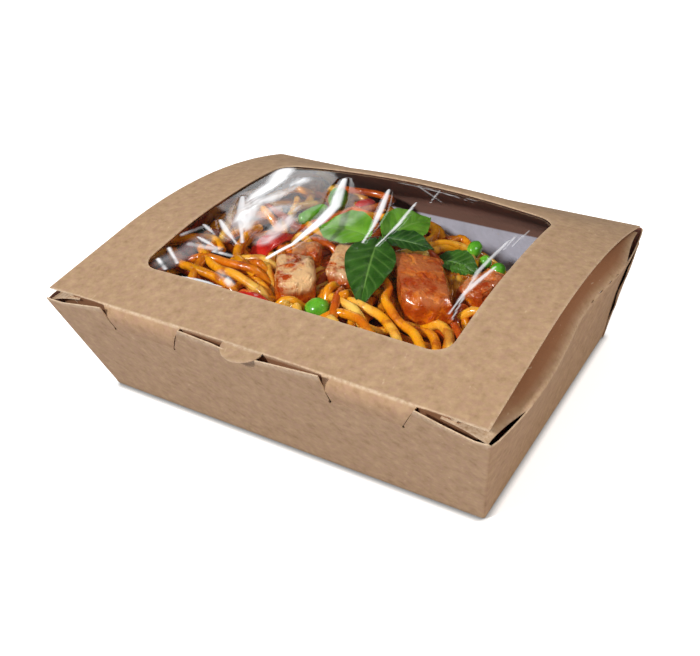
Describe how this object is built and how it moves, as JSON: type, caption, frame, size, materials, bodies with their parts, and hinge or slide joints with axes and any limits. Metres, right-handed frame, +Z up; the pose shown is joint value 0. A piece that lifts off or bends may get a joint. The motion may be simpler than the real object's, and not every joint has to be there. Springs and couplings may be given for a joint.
{
  "type": "takeaway food box with window",
  "caption": "Folded kraft board takeaway box with an arched tuck-in lid and a clear window, filled with noodles, chicken, peas, red pepper and basil.",
  "frame": {"origin": "centre of the bottom panel's underside, where the box rests", "axes": "+X along the box's length, -Y towards the front where the lid tucks in, +Z up"},
  "size_m": [0.1868, 0.1585, 0.0626],
  "materials": {
    "kraft_board": "matte",
    "window_film": "polished",
    "noodle": "gloss",
    "chicken_glaze": "gloss",
    "pea_green": "satin",
    "pepper_red": "gloss",
    "basil_green": "satin"
  },
  "bodies": {
    "box": {"tray": "kraft_board", "noodle_heap": "noodle", "chicken_1": "chicken_glaze", "chicken_2": "chicken_glaze", "chicken_3": "chicken_glaze", "chicken_4": "chicken_glaze", "chicken_5": "chicken_glaze", "chicken_6": "chicken_glaze", "pea_1": "pea_green", "pea_2": "pea_green", "pea_3": "pea_green", "pea_4": "pea_green", "pea_5": "pea_green", "bean_1": "pea_green", "bean_2": "pea_green", "pepper_1": "pepper_red", "pepper_2": "pepper_red", "pepper_3": "pepper_red", "pepper_4": "pepper_red", "basil_1": "basil_green", "basil_2": "basil_green", "basil_3": "basil_green", "basil_4": "basil_green", "basil_5": "basil_green", "basil_6": "basil_green", "basil_7": "basil_green", "basil_stem": "basil_green"},
    "lid": {"lid_panel": "kraft_board", "window_film": "window_film"}
  },
  "joints": [
    {"name": "lid_hinge", "type": "hinge", "parent": "box", "child": "lid", "pos_m": [0, 0.0726, 0.04915], "axis": [-1, 0, 0], "range_deg": [0, 180]}
  ]
}
